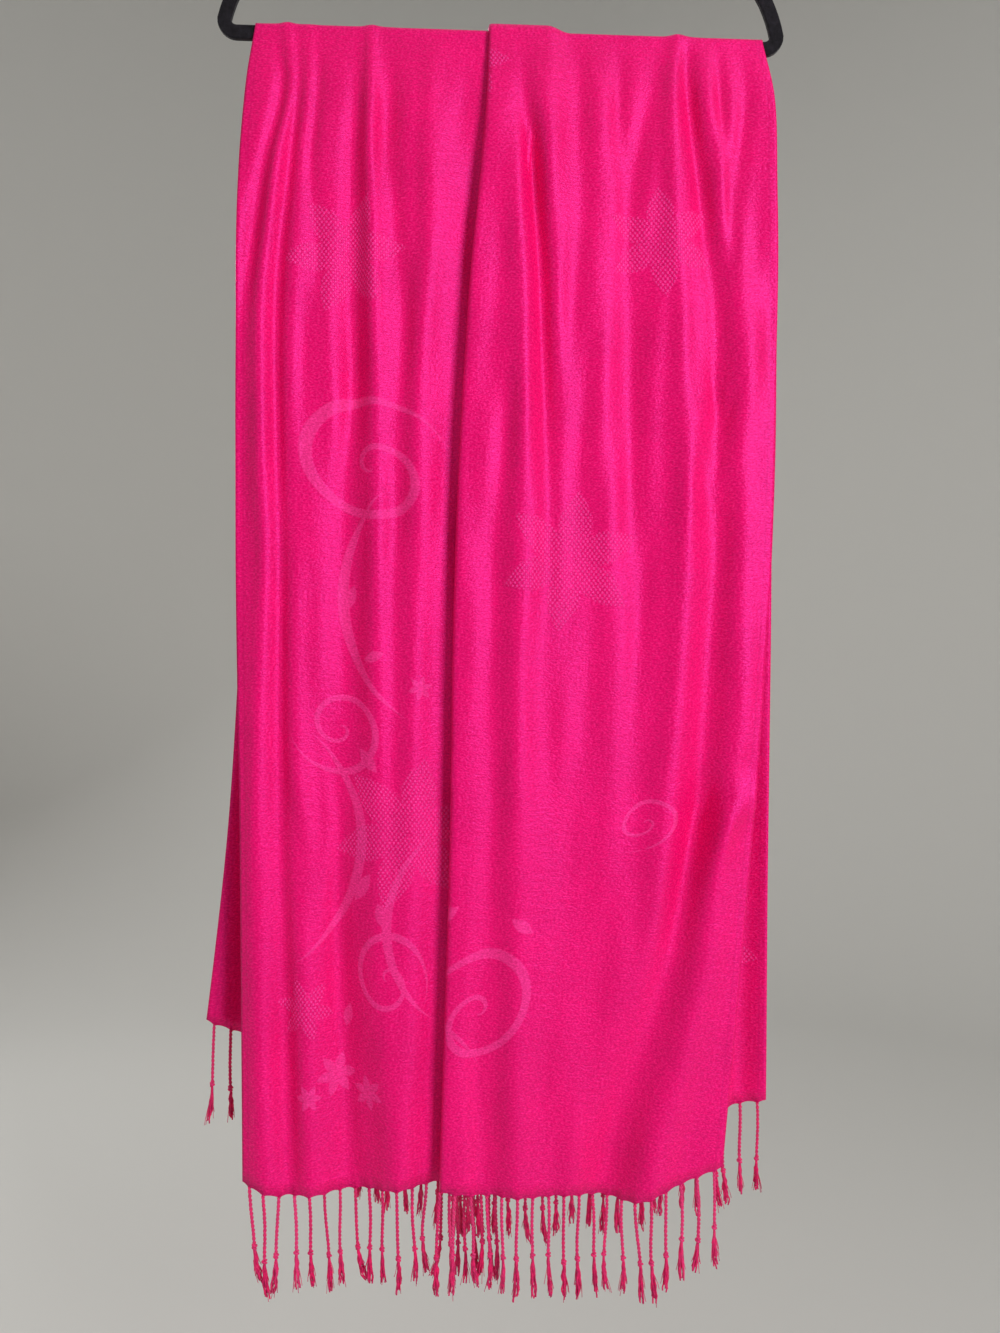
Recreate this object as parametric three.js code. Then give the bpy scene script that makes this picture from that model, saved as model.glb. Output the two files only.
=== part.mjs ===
// A pashmina shawl with fringed ends, draped over the bar of a slim clothes hanger.
// Millimetres, +Z up, +X to the viewer's right, the front fall towards -Y.
// The origin is the hook seat, the point inside the hook where a rail carries the hanger.

import * as THREE from "three";

// Hanger, measured along its own width and below its hook seat before it tilts
const HANGER_WIDTH = 445;
const HANGER_THICK = 5;
const BAR_HEIGHT = 11;
const EDGE_ROUND = 1.2;
const BAR_DROP = 196.5;
const TILT = THREE.MathUtils.degToRad(1.9);
const NECK_RISE = 132;
const NECK_WIDTH = 16;
const NECK_HEIGHT = 10;
const CORNER_RADIUS = 10;
const ARM_STEPS = 36;
const CORNER_STEPS = 8;

// Hook of bent wire
const WIRE = 3.6;
const HOOK_BORE = 38;
const HOOK_TIP_ANGLE = 208;
const HOOK_START_ANGLE = -62;
const HOOK_ANGLE_STEP = 15;

// Shawl: the cloth's wall, its bend over the bar, and the fringe
const CLOTH_THICK = 1.2;
const BEND_RADIUS = 4.05;
const SEAM_GAP = 0.3;
const FRINGE_LENGTH = 80;
const FRINGE_THICK = 2;

// The pleat is folded over within this share of the cloth that it hides
const PLEAT_ZONE = 0.66;
// and each of its two turns takes this share of that zone
const PLEAT_TURN = 0.26;
// Width over which the cloth sinks before it passes under the pleat's edge
const DIP_WIDTH = 45;

// Grid of the cloth walls
const STEPS_ACROSS = 60;
const STEPS_OVER_BAR = 6;
const FRONT_ROWS = [0, 0.03, 0.07, 0.12, 0.18, 0.26, 0.36, 0.47, 0.58, 0.68, 0.78, 0.87, 0.94, 1];
const BACK_ROWS = [0, 0.03, 0.08, 0.15, 0.25, 0.4, 0.55, 0.7, 0.85, 1];

// Every list of seven in the tables below holds values at these drops below the bar
const DROPS = [0, 45, 110, 220, 420, 640, 895];

// Front fall. x is where the light shows a fold, on its right flank, out is how far it stands
// towards the viewer, and spread is its half width at the bar and at the hem. Its middle lies
// further left by flank times its spread.
const FRONT = {
  side: -1,
  flank: 0.6,
  leftEdge: [-198, -204, -209, -211, -211, -207, -205],
  rightEdge: [199, 207, 208, 208, 202, 186, 163],
  hang: [0, 5, 8, 10, 11, 12, 12],
  pleat: {
    edge: [-15, -16, -21, -31, -41, -45, -53],
    hidden: [92, 92, 90, 90, 92, 98, 106],
    dip: [0, 4, 6.5, 7, 7, 7, 8],
    ridge: [4.8, 6, 8, 9, 9, 9, 9],
    hold: [46, 44, 42, 42, 44, 46, 50],
    fade: [18, 24, 34, 40, 46, 50, 50],
  },
  left: [
    { x: [-178, -172, -186, -200, -204, -204, -204], out: [0, -3, -4, -3, -1.5, -1, -1], spread: [6, 9] },
    { x: [-170, -166, -176, -187, -183, -188, -180], out: [1.5, 2, 3.5, 4, 3.5, 4, 4], spread: [5, 12] },
    { x: [-163, -160, -166, -176, -173, -171, -162], out: [0, -2, -3, -3, -3, -3, -1.5], spread: [5, 8] },
    { x: [-152, -152, -158, -163, -161, -155, -144], out: [0.5, 1, 2, 2, 2, 3, 3], spread: [6, 12] },
    { x: [-146, -145, -149, -142, -140, -140, -140], out: [0, -2, -2, -1, 0, 0, 0], spread: [5, 8] },
    { x: [-113, -114, -115, -115, -115, -121, -108], out: [0, -2.5, -5, -6, -6, -5, -6], spread: [7, 22] },
    { x: [-104, -104, -103, -100, -96, -92, -82], out: [1.5, 3, 4, 4, 3.5, 3, 3], spread: [5, 15] },
    { x: [-88, -88, -86, -76, -79, -82, -80], out: [0, -1.5, -2, -2.5, -2.5, -1, 0], spread: [7, 12] },
    { x: [-66, -65, -68, -66, -66, -66, -66], out: [0, -1, -1.5, 0, 0, 0, 0], spread: [6, 6] },
    { x: [-54, -54, -54, -55, -62, -66, -70], out: [0, 1.5, 3, 4, 4, 4, 4], spread: [14, 14] },
  ],
  right: [
    { x: [14, 18, 24, 30, 36, 36, 36], out: [0, -2, -10, -7, -1.5, 0, 0], spread: [7, 10] },
    { x: [-5, -5, -3, 0, -5, -4, -4], out: [0, 0, 0, 0, -3, -3.5, -4], spread: [12, 12] },
    { x: [9, 9, 9, 13, 16, 12, 9], out: [0, 0, 1, 2.5, 3, 2, 2], spread: [12, 12] },
    { x: [48, 46, 42, 46, 49, 51, 58], out: [0, 1.5, 3, 3, 2.5, 1, 2], spread: [13, 14] },
    { x: [60, 62, 62, 64, 67, 69, 76], out: [0, -2, -1, 0, 0, 0, 0], spread: [7, 12] },
    { x: [72, 72, 76, 80, 87, 90, 96], out: [0, 2, 3, 3, 2.5, 1, 0], spread: [14, 14] },
    { x: [92, 90, 92, 96, 96, 96, 96], out: [0, -2, -1.5, 0, 0, 0, 0], spread: [7, 7] },
    { x: [126, 118, 104, 101, 105, 107, 104], out: [0, -2, -3, -3.5, -2.5, -0.5, 0], spread: [11, 13] },
    { x: [136, 131, 132, 140, 144, 129, 108], out: [2, 2.5, 2.5, 3.5, 4, 4, 3], spread: [6, 18] },
    { x: [143, 145, 153, 167, 169, 154, 91], out: [0, -6, -6.5, -4, -4.5, -8.5, -9], spread: [6, 22] },
    { x: [160, 161, 176, 187, 189, 171, 117], out: [0, 2, 3, 3, 4, 7, 5], spread: [11, 21] },
    { x: [166, 168, 173, 180, 180, 180, 180], out: [0, -2.5, -1.5, 0, 0, 0, 0], spread: [5, 5] },
    { x: [185, 189, 180, 178, 180, 180, 180], out: [0, -2.5, -3, -0.5, 0, 0, 0], spread: [8, 8] },
  ],
  // Length of the fall at shares of the cloth's width, from the left selvage to the right one
  fall: [
    { at: 0, length: 900 },
    { at: 0.07, length: 909 },
    { at: 0.3, length: 899 },
    { at: 0.45, length: 895 },
    { at: 0.6, length: 901 },
    { at: 0.76, length: 902 },
    { at: 0.85, length: 905 },
    { at: 0.93, length: 891 },
    { at: 1, length: 876 },
  ],
};

// Back fall, wider at its hem, whose left corner swings out past the front fall
const BACK = {
  side: 1,
  flank: 0,
  leftEdge: [-198, -203, -208, -211, -213, -226, -256],
  rightEdge: [199, 206, 208, 210, 211, 209, 207],
  hang: [0, 5, 8, 10, 11, 12, 13],
  pleat: {
    edge: [-17, -18, -20, -25, -30, -38, -45],
    hidden: [92, 90, 86, 82, 76, 66, 50],
    dip: [0, 2, 3, 4, 5, 5, 5],
    ridge: [4.8, 6, 7, 8, 8, 8, 7],
    hold: [46, 44, 42, 40, 38, 36, 32],
    fade: [18, 24, 34, 40, 44, 46, 46],
  },
  left: [
    { x: [-171, -175, -182, -188, -190, -200, -222], out: [1.5, 3, 4, 5, 6, 8, 9], spread: [11, 18] },
    { x: [-150, -152, -155, -160, -160, -168, -180], out: [0, -2, -4, -5, -6, -6, -6], spread: [11, 18] },
    { x: [-104, -110, -118, -124, -128, -130, -140], out: [1.5, 3, 4, 5, 5, 6, 7], spread: [12, 18] },
    { x: [-80, -82, -86, -92, -95, -98, -104], out: [0, -2, -3, -4, -4, -5, -5], spread: [12, 16] },
    { x: [-50, -52, -55, -58, -62, -66, -70], out: [0, 2, 3, 4, 4, 5, 5], spread: [14, 14] },
  ],
  right: [
    { x: [20, 24, 28, 30, 30, 26, 22], out: [0, -2, -4, -4, -5, -5, -5], spread: [13, 13] },
    { x: [46, 50, 54, 58, 60, 58, 56], out: [0, 2, 3, 4, 5, 5, 6], spread: [15, 15] },
    { x: [80, 86, 90, 94, 96, 96, 94], out: [0, -3, -4, -4, -5, -5, -6], spread: [13, 14] },
    { x: [136, 130, 126, 124, 124, 126, 128], out: [2, 3, 4, 5, 5, 6, 6], spread: [9, 18] },
    { x: [150, 152, 154, 156, 156, 158, 160], out: [0, -3, -4, -5, -5, -5, -6], spread: [12, 14] },
    { x: [180, 184, 188, 190, 190, 188, 186], out: [0, 2, 3, 4, 4, 5, 5], spread: [13, 15] },
  ],
  fall: [
    { at: 0, length: 788 },
    { at: 0.06, length: 803 },
    { at: 0.3, length: 860 },
    { at: 0.5, length: 884 },
    { at: 0.75, length: 868 },
    { at: 1, length: 838 },
  ],
};

const finish = {
  cloth: new THREE.MeshStandardMaterial({ color: 0xeb0868, roughness: 0.55, metalness: 0 }),
  fringe: new THREE.MeshStandardMaterial({ color: 0xd8145c, roughness: 0.7, metalness: 0 }),
  flock: new THREE.MeshStandardMaterial({ color: 0x0e0c0f, roughness: 0.95, metalness: 0 }),
  wire: new THREE.MeshStandardMaterial({ color: 0xb9babd, roughness: 0.25, metalness: 1 }),
};

// Smooth step from 0 to 1
function ease(share) {
  const s = Math.min(1, Math.max(0, share));
  return s * s * (3 - 2 * s);
}

// Smooth curve through values that stand at the given places
function through(places, values, place) {
  const last = places.length - 1;
  if (place <= places[0]) return values[0];
  if (place >= places[last]) return values[last];
  let i = 0;
  while (place > places[i + 1]) i += 1;
  const slope = (k) => {
    const before = Math.max(0, k - 1);
    const after = Math.min(last, k + 1);
    return (values[after] - values[before]) / (places[after] - places[before]);
  };
  const step = places[i + 1] - places[i];
  const s = (place - places[i]) / step;
  const blend = ease(s);
  const leave = s * (1 - s) * (1 - s) * step * slope(i);
  const arrive = s * s * (1 - s) * step * slope(i + 1);
  return values[i] * (1 - blend) + values[i + 1] * blend + leave - arrive;
}

const atDrop = (values, drop) => through(DROPS, values, drop);

// Middle of the bar's rounded top, which falls to the right with the hanger's tilt
const BAR_CENTRE_X = -BAR_DROP * Math.sin(TILT);
const BEND_CENTRE_Z = -BAR_DROP * Math.cos(TILT) + BAR_HEIGHT / 2 - HANGER_THICK / 2;
const bendCentre = (x) => BEND_CENTRE_Z - (x - BAR_CENTRE_X) * Math.tan(TILT);

// The pleat at a drop: its zone along the cloth, its two turns and its folded edge
function pleatAt(fall, drop) {
  const hidden = atDrop(fall.pleat.hidden, drop);
  const zone = hidden * PLEAT_ZONE;
  const swing = Math.sqrt(1 - (2 / 3) * PLEAT_ZONE) / 2;
  const edge = atDrop(fall.pleat.edge, drop) - atDrop(fall.leftEdge, drop);
  const start = edge - (0.5 + swing) * zone + hidden * ease(0.5 + swing);
  return { hidden, zone, edge, start, turns: [0.5 - swing, 0.5 + swing] };
}

// Stand-off of the pleat: it dips on the left, turns twice and comes forward as a ridge
function pleatOut(fall, drop, t) {
  const p = pleatAt(fall, drop);
  const dip = atDrop(fall.pleat.dip, drop);
  const ridge = atDrop(fall.pleat.ridge, drop);
  const fade = atDrop(fall.pleat.fade, drop);
  const holdEnd = p.edge + p.hidden + atDrop(fall.pleat.hold, drop);
  let out = -dip * ease((t - p.edge + DIP_WIDTH) / DIP_WIDTH);
  for (const turn of p.turns) {
    const share = (t - p.start) / p.zone - turn;
    out += ((dip + ridge) / 2) * ease(share / PLEAT_TURN + 0.5);
  }
  return out - ridge * ease((t - holdEnd) / fade);
}

// Sum of the table's folds at a place along the cloth
function relief(fall, drop, t) {
  const left = atDrop(fall.leftEdge, drop);
  const hidden = atDrop(fall.pleat.hidden, drop);
  const reach = drop / DROPS[DROPS.length - 1];
  let out = 0;
  for (const [rows, shift] of [[fall.left, 0], [fall.right, hidden]]) {
    for (const row of rows) {
      const spread = row.spread[0] + (row.spread[1] - row.spread[0]) * Math.min(1, reach);
      const middle = atDrop(row.x, drop) - fall.flank * spread;
      const away = (t - (middle - left + shift)) / spread;
      out += atDrop(row.out, drop) * Math.exp(-away * away);
    }
  }
  return out;
}

// One point of a fall's section: share runs from the left selvage to the right one
function sectionPoint(fall, share, drop) {
  const left = atDrop(fall.leftEdge, drop);
  const p = pleatAt(fall, drop);
  const t = share * (atDrop(fall.rightEdge, drop) - left + p.hidden);
  const x = left + t - p.hidden * ease((t - p.start) / p.zone);
  const out = BEND_RADIUS + atDrop(fall.hang, drop) + pleatOut(fall, drop, t) + relief(fall, drop, t);
  return { x, out };
}

function fallLength(fall, share) {
  return through(fall.fall.map((row) => row.at), fall.fall.map((row) => row.length), share);
}

function fallPoint(fall, share, drop) {
  const { x, out } = sectionPoint(fall, share, drop);
  return new THREE.Vector3(x, fall.side * out, bendCentre(x) - drop);
}

// Over the bar the front section turns into the back one along a half circle
function bendPoint(share, turn) {
  const front = sectionPoint(FRONT, share, 0);
  const back = sectionPoint(BACK, share, 0);
  const blend = ease(turn);
  const x = front.x + (back.x - front.x) * blend;
  const out = front.out + (back.out - front.out) * blend;
  const angle = turn * Math.PI;
  return new THREE.Vector3(x, -out * Math.cos(angle), bendCentre(x) + out * Math.sin(angle));
}

// Rows of points, each from the left selvage to the right one
function grid(rows, point) {
  const shares = Array.from({ length: STEPS_ACROSS + 1 }, (_, i) => i / STEPS_ACROSS);
  return rows.map((row) => shares.map((share) => point(share, row)));
}

// Closed wall of an even thickness on both sides of a grid of points.
// runs holds the direction in which each row goes on to the next one.
function wall(rows, runs, thick) {
  const down = rows.length;
  const across = rows[0].length;
  const positions = [];
  const face = [];
  for (const offset of [thick / 2, -thick / 2]) {
    for (let j = 0; j < down; j += 1) {
      for (let i = 0; i < across; i += 1) {
        const sideways = rows[j][Math.min(across - 1, i + 1)].clone().sub(rows[j][Math.max(0, i - 1)]);
        const normal = sideways.cross(runs[j]).normalize();
        const point = rows[j][i].clone().addScaledVector(normal, offset);
        positions.push(point.x, point.y, point.z);
      }
    }
  }
  const at = (layer, j, i) => (layer * down + j) * across + i;
  const quad = (a, b, c, d) => face.push(a, b, c, a, c, d);
  for (let j = 0; j < down - 1; j += 1) {
    for (let i = 0; i < across - 1; i += 1) {
      quad(at(0, j, i), at(0, j, i + 1), at(0, j + 1, i + 1), at(0, j + 1, i));
      quad(at(1, j, i), at(1, j + 1, i), at(1, j + 1, i + 1), at(1, j, i + 1));
    }
    quad(at(0, j, 0), at(0, j + 1, 0), at(1, j + 1, 0), at(1, j, 0));
    quad(at(0, j + 1, across - 1), at(0, j, across - 1), at(1, j, across - 1), at(1, j + 1, across - 1));
  }
  for (let i = 0; i < across - 1; i += 1) {
    quad(at(0, 0, i + 1), at(0, 0, i), at(1, 0, i), at(1, 0, i + 1));
    quad(at(0, down - 1, i), at(0, down - 1, i + 1), at(1, down - 1, i + 1), at(1, down - 1, i));
  }
  const geometry = new THREE.BufferGeometry();
  geometry.setAttribute("position", new THREE.Float32BufferAttribute(positions, 3));
  geometry.setIndex(face);
  geometry.computeVertexNormals();
  return geometry;
}

function hangingWall(rows, point, thick) {
  const down = new THREE.Vector3(0, 0, -1);
  return wall(grid(rows, point), rows.map(() => down), thick);
}

function fallWall(fall, rows) {
  const point = (share, row) => fallPoint(fall, share, SEAM_GAP + row * (fallLength(fall, share) - SEAM_GAP));
  return hangingWall(rows, point, CLOTH_THICK);
}

function overBarWall() {
  const turns = Array.from({ length: STEPS_OVER_BAR + 1 }, (_, i) => i / STEPS_OVER_BAR);
  const runs = turns.map((t) => new THREE.Vector3(0, Math.sin(t * Math.PI), Math.cos(t * Math.PI)));
  return wall(grid(turns, bendPoint), runs, CLOTH_THICK);
}

// The fringe fills the reach of its cords, straight down from the hem
function fringeWall(fall) {
  const point = (share, row) => {
    const hem = fallPoint(fall, share, fallLength(fall, share));
    hem.z -= SEAM_GAP + row * FRINGE_LENGTH;
    return hem;
  };
  return hangingWall([0, 0.5, 1], point, FRINGE_THICK);
}

// Middle line of the hanger's frame, as distance from its centre and rise above the bar
function frameMiddle() {
  const outermost = HANGER_WIDTH / 2 - BAR_HEIGHT / 2;
  const arm = [
    [NECK_WIDTH / 2, NECK_RISE - 1],
    [40, NECK_RISE - 8],
    [95, NECK_RISE - 24],
    [150, NECK_RISE - 43],
    [184, 68],
    [outermost - 13, 43],
    [outermost - 4, 24],
    [outermost, CORNER_RADIUS],
  ];
  const curve = new THREE.SplineCurve(arm.map(([x, y]) => new THREE.Vector2(x, y)));
  const corner = new THREE.Path();
  corner.absarc(outermost - CORNER_RADIUS, CORNER_RADIUS, CORNER_RADIUS, 0, -Math.PI / 2, true);
  return [...curve.getSpacedPoints(ARM_STEPS), ...corner.getSpacedPoints(CORNER_STEPS).slice(1)];
}

// Outline at a distance from the middle line, clockwise from the neck's right side
function frameOutline(distance) {
  const middle = frameMiddle();
  return middle.map((p, i) => {
    const before = middle[Math.max(0, i - 1)];
    const after = middle[Math.min(middle.length - 1, i + 1)];
    const along = after.clone().sub(before).normalize();
    return new THREE.Vector2(p.x - along.y * distance, p.y + along.x * distance);
  });
}

function mirrored(points) {
  return points.map((p) => new THREE.Vector2(-p.x, p.y)).reverse();
}

// Moulded frame: sloping shoulders, steep ends, round corners and a straight bar
function hangerFrame() {
  const half = BAR_HEIGHT / 2 - EDGE_ROUND;
  const outer = frameOutline(half);
  const inner = frameOutline(-half).filter((p) => p.x > 0);
  const neck = [
    new THREE.Vector2(NECK_WIDTH / 2 - EDGE_ROUND, NECK_RISE + NECK_HEIGHT - EDGE_ROUND),
    new THREE.Vector2(NECK_WIDTH / 2 - EDGE_ROUND, NECK_RISE + half + 1),
  ];
  const shape = new THREE.Shape([...mirrored([...neck, ...outer]), ...neck, ...outer]);
  shape.holes.push(new THREE.Path([...mirrored(inner), ...inner].reverse()));
  const depth = HANGER_THICK - 2 * EDGE_ROUND;
  const geometry = new THREE.ExtrudeGeometry(shape, {
    depth,
    steps: 1,
    curveSegments: 1,
    bevelEnabled: true,
    bevelThickness: EDGE_ROUND,
    bevelSize: EDGE_ROUND,
    bevelSegments: 2,
  });
  // Drawn in its own plane, the frame stands up with its middle on the hook's plane
  geometry.translate(0, -BAR_DROP, -depth / 2);
  geometry.rotateX(Math.PI / 2);
  return geometry;
}

// Wire hook: a stem, a reverse bend and most of a circle round the seat
function hangerHook() {
  const radius = (HOOK_BORE + WIRE) / 2;
  const centre = -HOOK_BORE / 2;
  const onCircle = (degrees) => {
    const a = THREE.MathUtils.degToRad(degrees);
    return new THREE.Vector3(radius * Math.cos(a), 0, centre + radius * Math.sin(a));
  };
  const foot = -BAR_DROP + NECK_RISE + NECK_HEIGHT + SEAM_GAP;
  const points = [new THREE.Vector3(0, 0, foot), new THREE.Vector3(0, 0, foot + 2 * WIRE)];
  for (let degrees = HOOK_START_ANGLE; degrees <= HOOK_TIP_ANGLE; degrees += HOOK_ANGLE_STEP) {
    points.push(onCircle(degrees));
  }
  const section = new THREE.Shape();
  section.absarc(0, 0, WIRE / 2, 0, 2 * Math.PI);
  return new THREE.ExtrudeGeometry(section, {
    steps: 44,
    curveSegments: 10,
    bevelEnabled: false,
    extrudePath: new THREE.CatmullRomCurve3(points, false, "centripetal"),
  });
}

function piece(name, geometry, material) {
  const mesh = new THREE.Mesh(geometry, material);
  mesh.name = name;
  return mesh;
}

const hanger = new THREE.Group();
hanger.add(piece("hanger_frame", hangerFrame(), finish.flock));
hanger.add(piece("hanger_hook", hangerHook(), finish.wire));
hanger.rotation.y = TILT;

const shawl = new THREE.Group();
shawl.add(piece("cloth_front", fallWall(FRONT, FRONT_ROWS), finish.cloth));
shawl.add(piece("cloth_over_bar", overBarWall(), finish.cloth));
shawl.add(piece("cloth_back", fallWall(BACK, BACK_ROWS), finish.cloth));
shawl.add(piece("fringe_front", fringeWall(FRONT), finish.fringe));
shawl.add(piece("fringe_back", fringeWall(BACK), finish.fringe));

const part = new THREE.Group();
part.add(hanger, shawl);

export default part;
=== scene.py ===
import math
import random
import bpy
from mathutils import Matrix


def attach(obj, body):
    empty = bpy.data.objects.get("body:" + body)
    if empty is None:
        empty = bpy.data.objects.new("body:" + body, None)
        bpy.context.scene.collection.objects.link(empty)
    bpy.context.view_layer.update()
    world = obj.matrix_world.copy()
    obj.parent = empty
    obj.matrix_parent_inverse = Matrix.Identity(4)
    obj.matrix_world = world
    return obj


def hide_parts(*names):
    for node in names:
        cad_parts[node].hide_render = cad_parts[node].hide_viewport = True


bl_info = {
    "name": "Fringed shawl on a hanger",
    "version": (1, 0, 0),
    "blender": (4, 5, 0),
    "location": "3D Viewport > Sidebar > Shawl",
    "description": "Drapes a silky jacquard shawl with knotted fringe over the bar of a flocked hanger",
    "category": "Add Mesh",
}

import bpy
import numpy as np

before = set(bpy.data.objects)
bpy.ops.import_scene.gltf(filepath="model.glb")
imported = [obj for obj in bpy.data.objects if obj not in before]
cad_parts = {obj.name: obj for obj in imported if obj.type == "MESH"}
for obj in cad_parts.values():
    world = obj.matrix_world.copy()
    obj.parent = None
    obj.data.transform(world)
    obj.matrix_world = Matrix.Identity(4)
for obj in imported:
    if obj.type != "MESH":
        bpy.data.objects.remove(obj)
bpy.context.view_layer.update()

# Shapes are worked out in millimetres and written to the meshes in metres
MM = 0.001

# Thickness of the hanger, height of its bar and depth of the bar's middle below the hook seat, the
# hanger's tilt to the right, and the radius at which the sheet bends over the bar
HANGER_THICK = 5
BAR_HEIGHT = 11
BAR_DROP = 196.5
TILT = math.radians(1.9)
BEND_RADIUS = 4.05

# The pleat's folded zone, each of its turns, and the dip beside its edge
PLEAT_ZONE = 0.66
PLEAT_TURN = 0.26
DIP_WIDTH = 45

# The visible folds stand out by this share more than the solids', fully so from the given drop on
FOLD_GAIN = 0.3
FULL_GAIN_DROP = 60

# Rows of seven values hold at these drops below the bar
DROPS = (0, 45, 110, 220, 420, 640, 895)

# Uneven ripples: how many waves, the ranges of their lengths across and down the cloth, the drop at
# which they are full, and the two drops between which they lose the given share of their height
RIPPLE_WAVES = 16
RIPPLE_ACROSS = (16, 60)
RIPPLE_DOWN = (110, 420)
RIPPLE_FULL = 90
RIPPLE_EASING = (250, 650, 0.6)
# The two falls read the ripples twice this far apart, so that they differ
RIPPLE_SHIFT = 70

# The hem rises in a scallop between two cords, over the last share of the fall
SCALLOP_HEIGHT = 2.0
SCALLOP_ROUNDNESS = 0.65
SCALLOP_SHARE = 0.03


def fold(x, out, spread):
    """One fold: its place and height at each of DROPS, and its spread at the top and the hem."""
    return {"x": x, "out": out, "spread": spread}


def crease(panel, route, out, width, ends=(0, 0)):
    """A crease: a route of x and drop, its height and half width, and the share
    of the height that is left at its two ends."""
    return {"panel": panel, "route": route, "out": out, "width": width, "ends": ends}


# A fold's x is where the light shows it, on its right flank: its middle lies further left by
# flank times its spread
FRONT = {
    "side": -1,
    "flank": 0.6,
    "left_edge": (-198, -204, -209, -211, -211, -207, -205),
    "right_edge": (199, 207, 208, 208, 202, 186, 163),
    "hang": (0, 5, 8, 10, 11, 12, 12),
    "pleat": {
        "edge": (-15, -16, -21, -31, -41, -45, -53),
        "hidden": (92, 92, 90, 90, 92, 98, 106),
        "dip": (0, 4, 6.5, 7, 7, 7, 8),
        "ridge": (4.8, 6, 8, 9, 9, 9, 9),
        "hold": (46, 44, 42, 42, 44, 46, 50),
        "fade": (18, 24, 34, 40, 46, 50, 50),
    },
    "left": (
        fold((-178, -172, -186, -200, -204, -204, -204), (0, -3, -4, -3, -1.5, -1, -1), (6, 9)),
        fold((-170, -166, -176, -187, -183, -188, -180), (1.5, 2, 3.5, 4, 3.5, 4, 4), (5, 12)),
        fold((-163, -160, -166, -176, -173, -171, -162), (0, -2, -3, -3, -3, -3, -1.5), (5, 8)),
        fold((-152, -152, -158, -163, -161, -155, -144), (0.5, 1, 2, 2, 2, 3, 3), (6, 12)),
        fold((-146, -145, -149, -142, -140, -140, -140), (0, -2, -2, -1, 0, 0, 0), (5, 8)),
        fold((-113, -114, -115, -115, -115, -121, -108), (0, -2.5, -5, -6, -6, -5, -6), (7, 22)),
        fold((-104, -104, -103, -100, -96, -92, -82), (1.5, 3, 4, 4, 3.5, 3, 3), (5, 15)),
        fold((-88, -88, -86, -76, -79, -82, -80), (0, -1.5, -2, -2.5, -2.5, -1, 0), (7, 12)),
        fold((-66, -65, -68, -66, -66, -66, -66), (0, -1, -1.5, 0, 0, 0, 0), (6, 6)),
        fold((-54, -54, -54, -55, -62, -66, -70), (0, 1.5, 3, 4, 4, 4, 4), (14, 14)),
    ),
    "right": (
        fold((14, 18, 24, 30, 36, 36, 36), (0, -2, -10, -7, -1.5, 0, 0), (7, 10)),
        fold((-5, -5, 2, 9, -3, -4, -4), (0, 0, -1, -2.5, -3, -3.5, -4), (12, 12)),
        fold((9, 9, 12, 19, 17, 12, 9), (0, 0, 1.5, 3.5, 3, 1.5, 0.5), (12, 12)),
        fold((48, 46, 42, 46, 49, 51, 58), (0, 1.5, 3, 3, 2.5, 1, 2), (13, 14)),
        fold((60, 62, 62, 64, 67, 69, 76), (0, -2, -1, 0, 0, 0, 0), (7, 12)),
        fold((72, 72, 76, 80, 87, 90, 96), (0, 2, 3, 3, 2.5, 1, 0), (14, 14)),
        fold((92, 90, 92, 96, 96, 96, 96), (0, -2, -1.5, 0, 0, 0, 0), (7, 7)),
        fold((126, 118, 104, 101, 105, 107, 104), (0, -2, -3, -3.5, -2.5, -0.5, 0), (11, 13)),
        fold((136, 131, 132, 140, 144, 129, 108), (2, 2.5, 2.5, 3.5, 4, 4, 3), (6, 18)),
        fold((143, 145, 153, 167, 169, 154, 91), (0, -6, -6.5, -4, -4.5, -8.5, -9), (6, 22)),
        fold((160, 161, 176, 187, 189, 171, 117), (0, 2, 3, 3, 4, 7, 5), (11, 21)),
        fold((166, 168, 173, 180, 180, 180, 180), (0, -2.5, -1.5, 0, 0, 0, 0), (5, 5)),
        fold((185, 189, 180, 178, 180, 180, 180), (0, -2.5, -3, -0.5, 0, 0, 0), (8, 8)),
    ),
    "fall": (
        (0, 900), (0.07, 909), (0.3, 899), (0.45, 895), (0.6, 901),
        (0.76, 902), (0.85, 905), (0.93, 891), (1, 876),
    ),
}

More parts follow.
